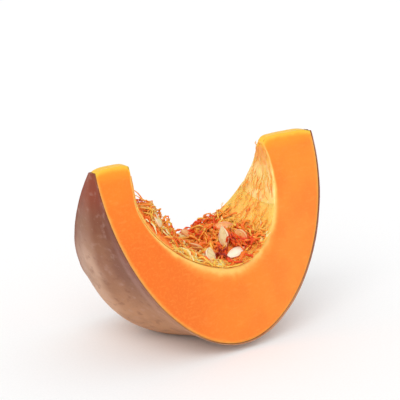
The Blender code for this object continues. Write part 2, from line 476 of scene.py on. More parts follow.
# Raw squash flesh, cut with a knife: satin and moist, deep orange in the middle of the wall, yellower just
# under the skin and paler in a soft band round the seed hollow. Light travels a few millimetres into it.
# Its real grain is about 0.4 mm across and is drawn at 1.6 mm, so that it shows.
CUT_FLESH = Finish(
    "squash_flesh_knife_cut",
    "#F58420",
    {
        "x": Source(From.AXIS, "X"),
        "z": Source(From.AXIS, "Z"),
        "cloud": Source(From.NOISE, size=24.0),
        "grain": Source(From.NOISE, size=1.6, detail=4.0),
        "fibre": Source(From.NOISE, size=6.0, stretch=(1.0, 1.0, 3.5)),
        "skin": Source(From.ATTRIBUTE, "skin_mm", wobble=0.9, wobble_size=5.0),
        "hollow": Source(From.ATTRIBUTE, "hollow_mm", wobble=3.0, wobble_size=6.0),
        "crest": Source(From.ATTRIBUTE, "crest_mm", wobble=0.8),
    },
    (
        Layer("#F06C12", "x", 0.010, -0.050, 0.75),
        Layer("#F88F30", "x", 0.000, 0.060, 0.70),
        Layer("#FC8E1C", "z", 0.075, 0.118, 0.55),
        Layer("#EC6F1B", "cloud", 0.42, 0.66, 0.35),
        Layer("#FA9838", "grain", 0.45, 0.72, 0.22),
        Layer("#FCA548", "fibre", 0.52, 0.74, 0.20),
        Layer("#FBB44E", "hollow", 11.0, 1.5, 0.65),
        Layer("#FDCF70", "hollow", 6.4, 0.8, 0.85),
        Layer("#F5A540", "skin", 3.4, 0.8, 0.60),
        Layer("#EFC06C", "skin", 1.3, 0.3, 0.45),
        # Painted light: the flesh turns yellow towards and on the upward-facing crest strips, as light from
        # above.
        Layer("#FFA01E", "crest", 9.0, 2.0, 0.70),
        Layer("#F6C23A", "crest", 3.4, 0.4, 0.95),
    ),
    (("grain", 0.10), ("cloud", 0.8)),
    roughness=0.46,
    ior=1.36,
    subsurface=0.20,
    coat=0.05,
    coat_roughness=0.35,
)

# The wall of the seed hollow: torn rather than cut, so it is fibrous, paler and wetter than the cut face.
HOLLOW_WALL = Finish(
    "squash_hollow_wall_torn",
    "#FFD97C",
    {
        "cloud": Source(From.NOISE, size=9.0),
        "blotch": Source(From.NOISE, size=5.5, detail=2.0),
        "thread": Source(From.NOISE, size=3.0, stretch=(2.5, 2.5, 0.8)),
        "crest": Source(From.ATTRIBUTE, "crest_mm", wobble=7.0, wobble_size=6.0),
    },
    (
        Layer("#FFEAA0", "cloud", 0.44, 0.62, 0.80),
        Layer("#FBB654", "thread", 0.56, 0.70, 0.50),
        Layer("#F08A3A", "blotch", 0.60, 0.70, 0.50),
        Layer("#FA973C", "crest", 26.0, 12.0, 0.70),
        Layer("#FFC54C", "crest", 6.0, 1.5, 0.80),
    ),
    (("thread", 0.30), ("blotch", 0.25)),
    roughness=0.50,
    ior=1.36,
    subsurface=0.25,
    coat=0.06,
    coat_roughness=0.18,
)

# Ripe rind of a brown cheese pumpkin: hard, dull skin the colour of clay, mottled with pale waxy bloom, and
# small corky specks. Its pores are drawn at 0.9 mm, three times their real size, so that they show. Its bands
# round the axis and its change with height are mostly painted light and shade, as told at those layers.
WAXY_RIND = Finish(
    "pumpkin_rind_painted_shade_and_bloom",
    "#8A5442",
    {
        "turn": Source(From.ATTRIBUTE, "turn_deg", wobble=2.4, wobble_size=18.0),
        "z": Source(From.AXIS, "Z"),
        "cloud": Source(From.NOISE, size=20.0, detail=4.0),
        "mottle": Source(From.NOISE, size=6.0, detail=4.0),
        "speck": Source(From.CELLS, size=2.6),
        "pore": Source(From.NOISE, size=0.9, detail=3.0),
    },
    (
        # Painted light and shade over the ribs, round the axis: beside the front cut a mauve band, partly
        # bloom and partly painted light; painted shade in the groove; painted light on the rib beyond it;
        # darker again towards the back cut.
        Layer("#A37C70", "turn", 14.0, 10.5, 0.50),
        Layer("#80503A", "turn", 10.0, 6.5, 0.85),
        Layer("#9A6A50", "turn", 4.0, -2.0, 0.85),
        Layer("#CBA48C", "turn", -4.0, -12.0, 0.90),
        Layer("#B58A72", "turn", -16.0, -22.0, 0.85),
        Layer("#8C5A48", "turn", -24.0, -28.0, 0.80),
        # Lighter low down, partly bloom and partly painted light thrown up from the floor; darker and redder
        # towards the crests, partly the stem end's own colour and partly painted shade.
        Layer("#D09A70", "z", 0.066, 0.012, 0.72),
        Layer("#74381E", "z", 0.062, 0.096, 0.72),
        Layer("#8E3A22", "z", 0.096, 0.120, 0.70),
        Layer("#96684A", "cloud", 0.50, 0.68, 0.40),
        Layer("#BF9A8C", "mottle", 0.54, 0.74, 0.30),
        Layer("#74402F", "mottle", 0.46, 0.28, 0.35),
        Layer("#C6A48C", "speck", 0.14, 0.05, 0.22),
    ),
    (("pore", 0.12), ("mottle", 0.30), ("speck", 0.08)),
    roughness=0.60,
    ior=1.42,
    subsurface=0.04,
    glow=(1.5, 0.7, 0.4),
    coat=0.03,
    coat_roughness=0.45,
)

# The bed of the pulp: soft wet flesh, orange-red, and yellow where it thins out up the wall. The tops of its
# folds are lighter orange as painted light, and its pits are deep red-brown as painted shade.
PULP_BED = Finish(
    "squash_pulp_bed_wet",
    "#F26A24",
    {
        "relief": Source(From.ATTRIBUTE, "relief"),
        "wall": Source(From.ATTRIBUTE, "wall", wobble=0.22, wobble_size=7.0),
        "cloud": Source(From.NOISE, size=6.0),
        "thread": Source(From.NOISE, size=2.2, stretch=(1.0, 1.0, 2.0)),
    },
    (
        Layer("#FF7E24", "cloud", 0.42, 0.60, 0.80),
        # Painted light: lighter orange on the tops of the folds.
        Layer("#FFA93E", "relief", 0.50, 0.80, 0.75),
        Layer("#FFCB60", "wall", 0.25, 0.80, 0.92),
        Layer("#F58E34", "thread", 0.54, 0.68, 0.40),
        # Painted shade: red-brown, then near black-red, down in the pits.
        Layer("#C9480F", "relief", 0.34, 0.18, 0.80),
        Layer("#7A240C", "relief", 0.18, 0.04, 0.85),
    ),
    (("thread", 0.35), ("cloud", 0.5)),
    roughness=0.42,
    ior=1.36,
    subsurface=0.35,
    coat=0.12,
    coat_roughness=0.10,
)

# The strings of the pulp: wet, cloudy threads, from crimson through orange to pale yellow.
PULP_STRING = Finish(
    "squash_pulp_string_wet",
    "#9C2416",
    {
        "tint": Source(From.ATTRIBUTE, "tint", wobble=0.12, wobble_size=4.0),
        "cloud": Source(From.NOISE, size=2.0),
    },
    (
        Layer("#F04F18", "tint", -0.20, 0.02),
        Layer("#FF7A26", "tint", 0.05, 0.28),
        Layer("#FF9E38", "tint", 0.30, 0.50),
        Layer("#FFC555", "tint", 0.52, 0.74),
        Layer("#FFE9AC", "tint", 0.80, 1.05),
        Layer("#E0601C", "cloud", 0.60, 0.74, 0.25),
    ),
    roughness=0.42,
    ior=1.36,
    subsurface=0.40,
    glow=(2.0, 0.9, 0.4),
    coat=0.12,
    coat_roughness=0.10,
)

# Hulls of ripe seeds: smooth ivory, damp, a little yellower in the middle, brown along the rim's groove and
# with a trace of orange juice towards the pointed end.
SEED_HULL = Finish(
    "pumpkin_seed_hull_damp",
    "#EBD7A4",
    {
        "edge": Source(From.ATTRIBUTE, "edge", wobble=0.06, wobble_size=2.0),
        "tip": Source(From.ATTRIBUTE, "tip", wobble=0.15, wobble_size=3.0),
        "cloud": Source(From.NOISE, size=3.0),
        "pore": Source(From.NOISE, size=0.8),
    },
    (
        Layer("#D9BC7C", "cloud", 0.44, 0.62, 0.65),
        Layer("#C98B58", "edge", 0.58, 0.70, 0.55),
        Layer("#F8ECCB", "edge", 0.72, 0.84, 0.85),
        Layer("#D88E55", "edge", 0.90, 0.99, 0.60),
        Layer("#EE9A52", "tip", 0.66, 1.00, 0.55),
    ),
    (("pore", 0.05),),
    roughness=0.34,
    ior=1.42,
    subsurface=0.18,
    glow=(1.6, 1.2, 0.8),
    coat=0.25,
    coat_roughness=0.10,
)

# A hull that lies clear of the pulp: almost white, with hardly any juice on it.
PALE_HULL = replace(
    SEED_HULL,
    name="pumpkin_seed_hull_pale",
    base="#FBF0D6",
    layers=(
        Layer("#F1DDB0", "cloud", 0.46, 0.64, 0.50),
        Layer("#D9A876", "edge", 0.60, 0.70, 0.40),
        Layer("#FFF6E0", "edge", 0.72, 0.84, 0.85),
        Layer("#D9935C", "edge", 0.92, 0.99, 0.50),
        Layer("#F0B070", "tip", 0.80, 1.00, 0.45),
    ),
)

# The same hulls still wrapped in wet pulp, which stains them orange.
STAINED_HULL = replace(
    SEED_HULL,
    name="pumpkin_seed_hull_pulp_stained",
    base="#EFA65C",
    layers=(
        Layer("#F4C98A", "cloud", 0.46, 0.64, 0.60),
        Layer("#D9682C", "edge", 0.55, 0.75, 0.60),
        Layer("#F9D9A0", "edge", 0.76, 0.86, 0.60),
        Layer("#E06A2A", "tip", 0.45, 1.00, 0.70),
    ),
)

# A sheet of white studio paper: dull, even and faintly fibrous.
STUDIO_PAPER = Finish(
    "studio_paper_white",
    "#FAFAFA",
    {"fibre": Source(From.NOISE, size=1.5)},
    (Layer("#F6F6F6", "fibre", 0.45, 0.60, 0.5),),
    roughness=0.9,
)


# ---------------------------------------------------------------- the fruit's own shape


@dataclass
class Fruit:
    """The pumpkin that the slice was cut from, with the knife cuts and the seed hollow."""

    stem_half: float = 0.0955  # widest girth to the stem end, along the axis
    blossom_half: float = 0.0938
    blossom_dip: float = 0.0105  # how far the blossom end is sunk in
    radius: float = 0.1348  # axis to the rind in a groove
    roundness: float = 1.81
    rib_count: int = 10
    groove: float = math.radians(6.0)
    rib_girth: float = 0.0060  # how far a rib stands out at the girth, and near the two ends
    rib_stem: float = 0.0050
    rib_blossom: float = 0.0082
    lean: float = 0.0265  # how far the girth leans towards the stem for each radian behind the front
    front: float = math.radians(16.0)  # the turns of the two cut faces
    back: float = math.radians(-28.0)
    crest_drop: float = 0.0065  # axis to the edges of the narrow strips on top of the arms
    crest_arch: float = 0.0020  # how far those strips are rounded up
    hollow_stem: float = 0.0688  # widest girth to the hollow's two ends, along the axis
    hollow_blossom: float = 0.0455
    hollow_depth: float = 0.0862  # axis to the hollow's floor
    hollow_waist: float = 0.0310  # axis to the hollow's longest place
    stem_curve: float = 1.62
    blossom_curve: float = 2.10
    stem_rise: float = 0.300  # how slowly each end turns in above the waist
    blossom_rise: float = 0.0485
    shift: Array = field(default_factory=lambda: np.zeros(3))

    def stand_in(self, node: str) -> None:
        """Moves the fruit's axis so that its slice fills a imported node's box.

        Args:
            node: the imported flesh.
        """
        low, high = (np.array(corner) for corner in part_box(node))
        angle, turn = np.meshgrid(np.linspace(0.0, math.pi, 41), np.linspace(self.back, self.front, 17))
        points = self.around(*self.rind(angle, turn), turn)
        middle = (points.min(axis=(0, 1)) + points.max(axis=(0, 1))) / 2.0
        self.shift = (low + high) / 2.0 - middle
        self.shift[2] = high[2] + self.crest_drop - self.crest_arch

    def power_arc(self, angle: Array, exponent: float) -> tuple[Array, Array]:
        """Cosine and sine of an arc whose outline is |x|^exponent + |y|^exponent = 1.

        Args:
            angle: place along the arc.
            exponent: 2 is a circle, less is more pointed.

        Returns:
            The two coordinates, along the axis and out from it.
        """
        cosine, sine = np.cos(angle), np.sin(angle)
        return np.sign(cosine) * np.abs(cosine) ** (2.0 / exponent), np.abs(sine) ** (2.0 / exponent)

    def rind(self, angle: Array, turn: Array, inset: Any = 0.0) -> tuple[Array, Array]:
        """The rind: a power arc with ribs that stand out square to it, by a cosine of the turn.

        The blossom end is sunk in by (1 - sin)^2 of the place along the outline.

        Args:
            angle: place along the outline, 0 at the stem and pi at the blossom end.
            turn: turn round the axis.
            inset: how far inside the rind, square to the arc.

        Returns:
            Places along the axis and distances from it.
        """
        cosine, sine = self.power_arc(angle, self.roundness)
        half = np.where(cosine > 0.0, self.stem_half, self.blossom_half)
        along, out = -half * cosine, self.radius * sine
        slope_along, slope_out = along / half**2, out / self.radius**2
        length = np.hypot(slope_along, slope_out)
        stem_share = (1.0 + np.cos(angle)) / 2.0
        shoulder = self.rib_stem * stem_share + self.rib_blossom * (1.0 - stem_share)
        sine_of_angle = np.clip(np.sin(angle), 0.0, 1.0)
        shoulder = shoulder * sine_of_angle**0.7 * np.abs(np.cos(angle))
        rib = (1.0 - np.cos(self.rib_count * (turn - self.groove))) / 2.0
        stands_out = rib * (shoulder + self.rib_girth * sine_of_angle**2) - inset
        along = along + stands_out * slope_along / length
        along = along - self.lean * (self.front - turn) * sine_of_angle
        along = along - np.where(cosine < 0.0, self.blossom_dip * (1.0 - sine_of_angle) ** 2, 0.0)
        out = out + stands_out * slope_out / length
        return along, np.maximum(out, self.crest_drop / np.cos(turn))

    def hollow(self, angle: Array) -> tuple[Array, Array]:
        """The hollow's wall: two power arcs below its waist and a sine's start above each end.

        Args:
            angle: 0 at the stem wall's waist, pi / 2 on the floor, pi at the blossom wall's waist.

        Returns:
            Places along the axis and distances from it.
        """
        stem_cosine, stem_sine = self.power_arc(angle, self.stem_curve)
        blossom_cosine, blossom_sine = self.power_arc(angle, self.blossom_curve)
        depth = self.hollow_depth - self.hollow_waist
        ranges = [angle < 0.0, angle < math.pi / 2.0, angle <= math.pi]
        stem, blossom = self.hollow_stem, self.hollow_blossom
        arcs = [-stem * np.cos(angle), -stem * stem_cosine, -blossom * blossom_cosine]
        along = np.select(ranges, arcs, -blossom * np.cos(angle))
        arcs = [self.stem_rise * np.sin(angle), depth * stem_sine, depth * blossom_sine]
        return along, self.hollow_waist + np.select(ranges, arcs, self.blossom_rise * np.sin(angle))

    def hollow_ends(self, turn: Array) -> tuple[Array, Array]:
        """The angles at which the hollow's wall meets the two crests.

        Args:
            turn: turn round the axis.

        Returns:
            The first and the last angle.
        """
        rise = self.hollow_waist - self.crest_drop / np.cos(turn)
        return -np.arcsin(rise / self.stem_rise), math.pi + np.arcsin(rise / self.blossom_rise)

    def around(self, along: Array, out: Array, turn: Array) -> Array:
        """Points of the slice from places along the axis, distances from it and turns."""
        turn = np.broadcast_to(turn, out.shape)
        return np.stack([along, -out * np.sin(turn), -out * np.cos(turn)], axis=-1) + self.shift

    def raised(self, angle: Array, turn: Array, height: Array) -> Array:
        """Points a given height off the hollow's wall, square to its outline.

        Args:
            angle: place along the hollow's outline.
            turn: turn round the axis.
            height: how far off the wall.

        Returns:
            The points.
        """
        step = 1e-4
        along, out = self.hollow(angle)
        next_along, next_out = self.hollow(angle + step)
        length = np.hypot(next_along - along, next_out - out)
        inward_along = (next_out - out) / length
        inward_out = -(next_along - along) / length
        return self.around(along + height * inward_along, out + height * inward_out, turn)

    def wall_angle(self, distance: Array) -> Array:
        """The angle at a distance along the hollow's wall, read off a finely measured outline.

        Args:
            distance: metres from where the angle is 0.

        Returns:
            The angle at each distance.
        """
        angle = np.radians(np.linspace(-12.0, 250.0, 2000))
        along, out = self.hollow(angle)
        length = np.concatenate([[0.0], np.cumsum(np.hypot(np.diff(along), np.diff(out)))])
        return np.interp(distance, length - np.interp(0.0, angle, length), angle)

    def wall_distance(self, angle: Array) -> Array:
        """The distance in metres along the hollow's wall from where its angle is 0."""
        reach = np.linspace(-0.08, 0.40, 2000)
        return np.interp(angle, self.wall_angle(reach), reach)


# ---------------------------------------------------------------- flesh and rind


@dataclass(frozen=True)
class Arm:
    """One arm of the slice: where its crest starts and ends along the axis, and its inner edge's radius."""

    inner: float
    outer: float
    rounding: float


@dataclass
class FleshWedge:
    """The firm flesh: two cut faces, two crests, the hollow's wall and the side under the rind."""

    fruit: Fruit
    skin: float = 0.8 * MM  # thickness of the rind outside it
    along_steps: int = 260
    across_steps: int = 46
    turn_steps: int = 64
    waviness: float = 0.30 * MM  # how far the cut faces are from flat
    torn: float = 0.60 * MM  # how far the hollow's fibres stand out
    pale_wall: float = 0.18  # width of the pale rim beside the walls, as a share of that under the floor
    stem_rounding: float = 1.4 * MM  # radius of each arm's inner top edge
    blossom_rounding: float = 7.5 * MM
    far_off: float = 30.0 * MM  # stands for any distance past the reach of the edge colours

    def outlines(self, turn: Array) -> tuple[Array, Array]:
        """The rind's and the hollow's outlines at each turn.

        Args:
            turn: turns round the axis.

        Returns:
            Points just under the rind and on the hollow's wall, by turn, place and coordinate.
        """
        share = np.linspace(0.0, 1.0, self.along_steps + 1)
        turns = np.asarray(turn)[:, None]
        along, out = self.fruit.rind(math.pi * share, turns, self.skin)
        outer = self.fruit.around(along, out, turns)
        outer[..., 2] = np.maximum(outer[..., 2], self.skin)
        first, last = self.fruit.hollow_ends(turns)
        angle = first + (last - first) * share
        return outer, self.fruit.around(*self.fruit.hollow(angle), turns)

    def top(self) -> float:
        """The height of the crests' edges."""
        return self.fruit.shift[2] - self.fruit.crest_drop

    def marks(self, points: Array, skin: Array, hollow: Array) -> dict[str, Array]:
        """The attributes that the flesh's colours follow.

        Args:
            points: where the values lie.
            skin: distances to the rind.
            hollow: distances to the hollow.

        Returns:
            Distances in millimetres to the rind, the hollow and the top of the crests.
        """
        crest = (self.top() - points[..., 2]) / MM
        return {"skin_mm": skin / MM, "hollow_mm": hollow / MM, "crest_mm": crest}

    def shape_crest(self, points: Array, arm: Arm) -> Array:
        """Rounds an arm's inner top edge and arches its crest.

        A point near that edge lies on an L-shaped line at a fixed depth under the two surfaces. The line
        is bent into a quarter circle round the edge, tighter the deeper it lies. The crest's arch is
        1 - u^4, where u runs from -1 to 1 along the crest, and fades out below it.

        Args:
            points: any of the wedge's points.
            arm: the arm that is shaped.

        Returns:
            The points after shaping.
        """
        inner, outer = arm.inner + self.fruit.shift[0], arm.outer + self.fruit.shift[0]
        sign = math.copysign(1.0, outer - inner)
        inward = (points[..., 0] - inner) * sign
        below = self.top() - points[..., 2]
        depth = np.minimum(inward, below)
        reach = np.maximum(inward, below) - depth
        radius = np.maximum(arm.rounding - depth, 0.0)
        near = (reach < radius) & (depth > -1.0 * MM)
        ratio = np.where(near, (inward - below) / np.maximum(radius, 1e-9), 0.0)
        turned = math.pi / 4.0 * (1.0 + ratio)
        bent_inward = depth + radius * (1.0 - np.cos(turned))
        bent_below = depth + radius * (1.0 - np.sin(turned))
        inward = np.where(near, bent_inward, inward)
        below = np.where(near, bent_below, below)
        share = np.clip(inward / abs(outer - inner), 0.0, 1.0)
        on_arm = smooth((points[..., 0] - inner) * sign, -6.0 * MM, 0.0)
        on_arm = on_arm * smooth(below, 9.0 * MM, 0.0)
        rise = self.fruit.crest_arch * (1.0 - (2.0 * share - 1.0) ** 4) * on_arm
        return np.stack([inner + sign * inward, points[..., 1], self.top() - below + rise], axis=-1)

    def between(self, inner: Array, outer: Array, wave: Array | None = None) -> Patch:
        """A ruled face: straight lines from the hollow's edge to the rind's, lifted by slight noise.

        Args:
            inner: points along the hollow's edge.
            outer: points along the rind's edge.
            wave: the direction of the noise, or none for a plain face.

        Returns:
            The face's patch.
        """
        share = np.linspace(0.0, 1.0, self.across_steps + 1)[:, None, None]
        points = inner + (outer - inner) * share
        width = np.linalg.norm(outer - inner, axis=-1)[None]
        share = share[..., 0]
        level = np.linspace(0.0, 1.0, inner.shape[0])
        pale = self.pale_wall + (1.0 - self.pale_wall) * smooth(level, 0.10, 0.38) * smooth(level, 0.92, 0.62)
        if wave is not None:
            lift = layered_noise(points / (22.0 * MM), 11) * self.waviness
            lift = lift + layered_noise(points / (3.0 * MM), 12) * self.waviness / 5.0
            lift = lift * smooth(share * width, 0.0, 4.0 * MM) * smooth((1.0 - share) * width, 0.0, 4.0 * MM)
            points = points + lift[..., None] * wave
        return Patch(points, self.marks(points, (1.0 - share) * width, share * width / pale))

    def hollow_patch(self, turns: Array) -> Patch:
        """The hollow's wall, with torn fibres along it: ridged noise, finer across than along.

        Args:
            turns: turns round the axis.

        Returns:
            The wall's patch.
        """
        share = np.linspace(0.0, 1.0, self.along_steps + 1)
        first, last = self.fruit.hollow_ends(turns[:, None])
        angle = first + (last - first) * share
        turn = np.broadcast_to(turns[:, None], angle.shape)
        reach = self.fruit.wall_distance(angle)
        across = turn * self.fruit.hollow_depth
        bend = layered_noise(np.stack([reach, across], axis=-1) / (14.0 * MM), 21) * 2.5 * MM
        places = np.stack([reach / (9.0 * MM), (across + bend) / (2.4 * MM)], axis=-1)
        height = ridged_noise(places, 22) * self.torn
        ends = smooth(share, 0.0, 0.02) * smooth(share, 1.0, 0.98)
        sides = smooth(turn, turns[0], turns[0] + 0.03) * smooth(turn, turns[-1], turns[-1] - 0.03)
        points = self.fruit.raised(angle, turn, height * ends * sides)
        far = np.full(angle.shape, self.far_off)
        return Patch(points, self.marks(points, far, np.zeros(angle.shape)), material=1)

    def build(self) -> bpy.types.Object:
        """Joins the six patches into one closed body and softens its cut edges.

        Returns:
            The flesh's piece.
        """
        turns = np.linspace(self.fruit.back, self.fruit.front, self.turn_steps + 1)
        outer, inner = self.outlines(turns)
        cuts = (self.fruit.front, self.fruit.back)
        normals = [np.array([0.0, -math.cos(turn), math.sin(turn)]) for turn in cuts]
        under_skin = np.zeros(outer.shape[:2])
        patches = [
            Patch(outer, self.marks(outer, under_skin, under_skin + self.far_off)),
            self.hollow_patch(turns),
            self.between(inner[-1], outer[-1], normals[0]),
            self.between(inner[0], outer[0], -normals[1]),
            self.between(inner[:, 0], outer[:, 0]),
            self.between(inner[:, -1], outer[:, -1]),
        ]
        rounding = {0: self.stem_rounding, -1: self.blossom_rounding}
        for end, radius in rounding.items():
            places = [inner[:, end, 0].mean(), outer[:, end, 0].mean()]
            arm = Arm(*(place - self.fruit.shift[0] for place in places), radius)
            for patch in patches:
                patch.points = self.shape_crest(patch.points, arm)
        materials = [CUT_FLESH.make(), HOLLOW_WALL.make()]
        piece = make_piece("flesh_body", patches, materials, merge=0.02 * MM, sharp=55.0)
        self.soften(piece)
        return place_piece(piece, "flesh", "pumpkin_flesh")

    def soften(self, piece: bpy.types.Object) -> None:
        """Rounds the knife's edges a little, by evening out the points beside them, but not the crests'.

        Args:
            piece: the flesh.
        """
        shape = bmesh.new()
        shape.from_mesh(piece.data)
        near = set()
        for edge in shape.edges:
            low = min(vert.co.z for vert in edge.verts) < self.top() - 1.5 * MM
            if low and edge.is_manifold and edge.calc_face_angle() > math.radians(40.0):
                near.update(edge.verts)
        for _ in range(2):
            near.update([edge.other_vert(vert) for vert in list(near) for edge in vert.link_edges])
        for _ in range(6):
            bmesh.ops.smooth_vert(
                shape, verts=list(near), factor=0.5, use_axis_x=True, use_axis_y=True, use_axis_z=True
            )
        shape.to_mesh(piece.data)
        shape.free()
        piece.data.shade_smooth()


@dataclass
class Rind:
    """The skin: a thin closed shell over the outside of the wedge."""

    fruit: Fruit
    thickness: float = 0.78 * MM
    along_steps: int = 300
    turn_steps: int = 110
    dimple: float = 0.35 * MM  # depth and size of the broad unevenness
    dimple_size: float = 15.0 * MM
    wart: float = 0.10 * MM  # height and size of the fine unevenness
    wart_size: float = 2.0 * MM

    def build(self) -> bpy.types.Object:
        """Outer and inner grids with their borders joined; the relief is noise, fading at the crests.

        Returns:
            The rind's piece.
        """
        angles = np.linspace(0.0, math.pi, self.along_steps + 1)
        turns = np.linspace(self.fruit.back, self.fruit.front, self.turn_steps + 1)
        angle, turn = np.meshgrid(angles, turns)
        flat = self.fruit.around(*self.fruit.rind(angle, turn), turn)
        broad = self.dimple * layered_noise(flat / self.dimple_size, 31)
        fine = self.wart * layered_noise(flat / self.wart_size, 32)
        relief = (broad + fine - self.dimple) * np.sin(angle) ** 0.5
        outer = self.fruit.around(*self.fruit.rind(angle, turn, -relief), turn)
        inner = self.fruit.around(*self.fruit.rind(angle, turn, self.thickness), turn)
        outer[..., 2] = np.maximum(outer[..., 2], 0.0)
        inner[..., 2] = np.maximum(inner[..., 2], self.thickness)
        patches = closed_sheet(outer, inner, {"turn_deg": np.degrees(turn)})
        piece = make_piece("rind_skin", patches, [WAXY_RIND.make()], merge=0.005 * MM, sharp=60.0)
        return place_piece(piece, "rind", "pumpkin_flesh")


# ---------------------------------------------------------------- pulp


@dataclass(frozen=True)
class Heap:
    """A place where the pulp is heaped up."""

    along: float
    turn: float  # degrees
    spread: float
    turn_spread: float  # degrees
    height: float


@dataclass
class PulpShape:
    """How thick the pulp lies on the hollow's wall."""

    fruit: Fruit
    start: float = math.radians(-3.5)  # where it starts and ends along the hollow's outline
    end: float = math.radians(160.0)
    set_back: float = 0.3 * MM  # from the cut faces
    bed: float = 4.0 * MM  # thickness away from the heaps and the edges
    edge: float = 0.4 * MM
    end_fullness: float = 0.5  # how slowly it thickens from its ends, and from the cut faces
    side_fullness: float = 0.4
    heaps: tuple[Heap, ...] = (
        Heap(0.0150, 1.0, 0.0260, 17.0, 0.0105),
        Heap(-0.0570, 2.0, 0.0220, 15.0, 0.0180),
    )

    def turns(self) -> tuple[float, float]:
        """The turns of the pulp's back and front edges.

        Returns:
            The back turn and the front turn.
        """
        step = self.set_back / self.fruit.hollow_depth
        return self.fruit.back + step, self.fruit.front - step

    def thickness(self, angle: Array, turn: Array) -> Array:
        """A bed that thins to its four edges by sines, with a bell-shaped heap at each chosen place.

        Args:
            angle: place along the hollow's outline.
            turn: turn round the axis.

        Returns:
            The thickness, which is nothing past the two ends.
        """
        back, front = self.turns()
        share = np.clip((angle - self.start) / (self.end - self.start), 0.0, 1.0)
        turn_share = np.clip((turn - back) / (front - back), 0.0, 1.0)
        inside = np.sin(math.pi * share) ** self.end_fullness
        inside = inside * np.sin(math.pi * turn_share) ** self.side_fullness
        along = self.fruit.hollow(angle)[0]
        heaped = self.bed - self.edge
        for heap in self.heaps:
            away = (along - heap.along) / heap.spread
            turned = (turn - math.radians(heap.turn)) / math.radians(heap.turn_spread)
            heaped = heaped + heap.height * np.exp(-(away**2) - turned**2)
        fade = smooth(angle, self.start - 0.1, self.start) * smooth(angle, self.end + 0.5, self.end)
        return (self.edge + inside * heaped) * fade


@dataclass
class PulpBed:
    """The soft mass under the strings, folded and pitted."""

    shape: PulpShape
    angle_steps: int = 260
    turn_steps: int = 130
    fold_size: float = 5.0 * MM
    lump_size: float = 7.0 * MM
    thread_size: float = 1.9 * MM
    bend_size: float = 9.0 * MM  # the folds are bent over this length, by this much
    bend: float = 3.5 * MM

    def relief(self, angle: Array, turn: Array) -> Array:
        """Folds and pits: ridged noise bent by slower noise, with broad lumps under it.

        Args:
            angle: place along the hollow's outline.
            turn: turn round the axis.

        Returns:
            0 in the deepest pit, 1 on the highest fold.
        """
        fruit = self.shape.fruit
        places = np.stack([fruit.wall_distance(angle), turn * fruit.hollow_depth], axis=-1)
        bends = [layered_noise(places / self.bend_size, seed) for seed in (41, 42)]
        bent = places + np.stack(bends, axis=-1) * self.bend
        folds = ridged_noise(bent / self.fold_size, 43)
        lumps = 0.5 + 0.5 * layered_noise(places / self.lump_size, 44)
        threads = ridged_noise(bent / self.thread_size, 45)
        return np.clip(0.45 * folds + 0.35 * lumps + 0.20 * threads, 0.0, 1.0)

    def fullness(self, relief: Array) -> Array:
        """The share of the pulp's thickness that the bed fills, less in its pits."""
        return 0.58 + 0.50 * relief

    def build(self) -> bpy.types.Object:
        """Top and bottom grids in one closed loop for each turn, with a cap at the front and the back.

        Returns:
            The bed's piece.
        """
        fruit = self.shape.fruit
        angles = np.linspace(self.shape.start, self.shape.end, self.angle_steps + 1)
        turns = np.linspace(*self.shape.turns(), self.turn_steps + 1)
        angle, turn = np.meshgrid(angles, turns)
        thick = self.shape.thickness(angle, turn)
        relief = self.relief(angle, turn)
        height = thick * self.fullness(relief)
        top = fruit.raised(angle, turn, height)
        bottom = fruit.raised(angle, turn, np.full(angle.shape, 0.2 * MM))
        wall = smooth(angle, math.radians(95.0), math.radians(150.0)) * smooth(thick, 11.0 * MM, 5.0 * MM)
        wall = np.maximum(wall, 0.6 * smooth(thick, 3.0 * MM, 1.5 * MM))
        # Where the pulp thins out, the relief used for colour is raised, which keeps the painted shade of the
        # pits off its edges.
        shown = np.maximum(relief, 0.50 * smooth(thick, 5.0 * MM, 1.5 * MM))
        patches = closed_sheet(top, bottom, {"relief": shown, "wall": wall})
        piece = make_piece("pulp_bed", patches, [PULP_BED.make()], merge=0.002 * MM)
        return place_piece(piece, "pulp", "pulp")


@dataclass(frozen=True)
class StringSet:
    """Strings of one kind, scattered over a stretch of the hollow's wall. Angles are in degrees."""

    name: str
    seed: int
    count: int
    angles: tuple[float, float]
    turns: tuple[float, float]
    lengths: tuple[float, float]  # millimetres
    radii: tuple[float, float]  # millimetres
    arch: tuple[float, float]  # how high the middle rises, millimetres
    tints: tuple[float, float]  # 0 is orange-red, 1 is pale yellow
    heading: float = 0.0  # 0 runs up the wall, 90 runs towards the front
    spread: float = 180.0
    curl: float = 1.2  # how far a string turns along its length, radians
    lift: float = 0.2  # millimetres above the pulp at its ends
    flat: float = 1.0  # how many times wider than thick
    over: float = -0.6  # how far a string may pass the cut faces, millimetres


@dataclass(frozen=True)
class RedPatch:
    """A patch of crimson strings: its middle, its spread and how far it shifts their tint."""

    angle: float  # degrees
    turn: float  # degrees
    spread: float  # millimetres up and down the wall
    turn_spread: float  # degrees
    depth: float


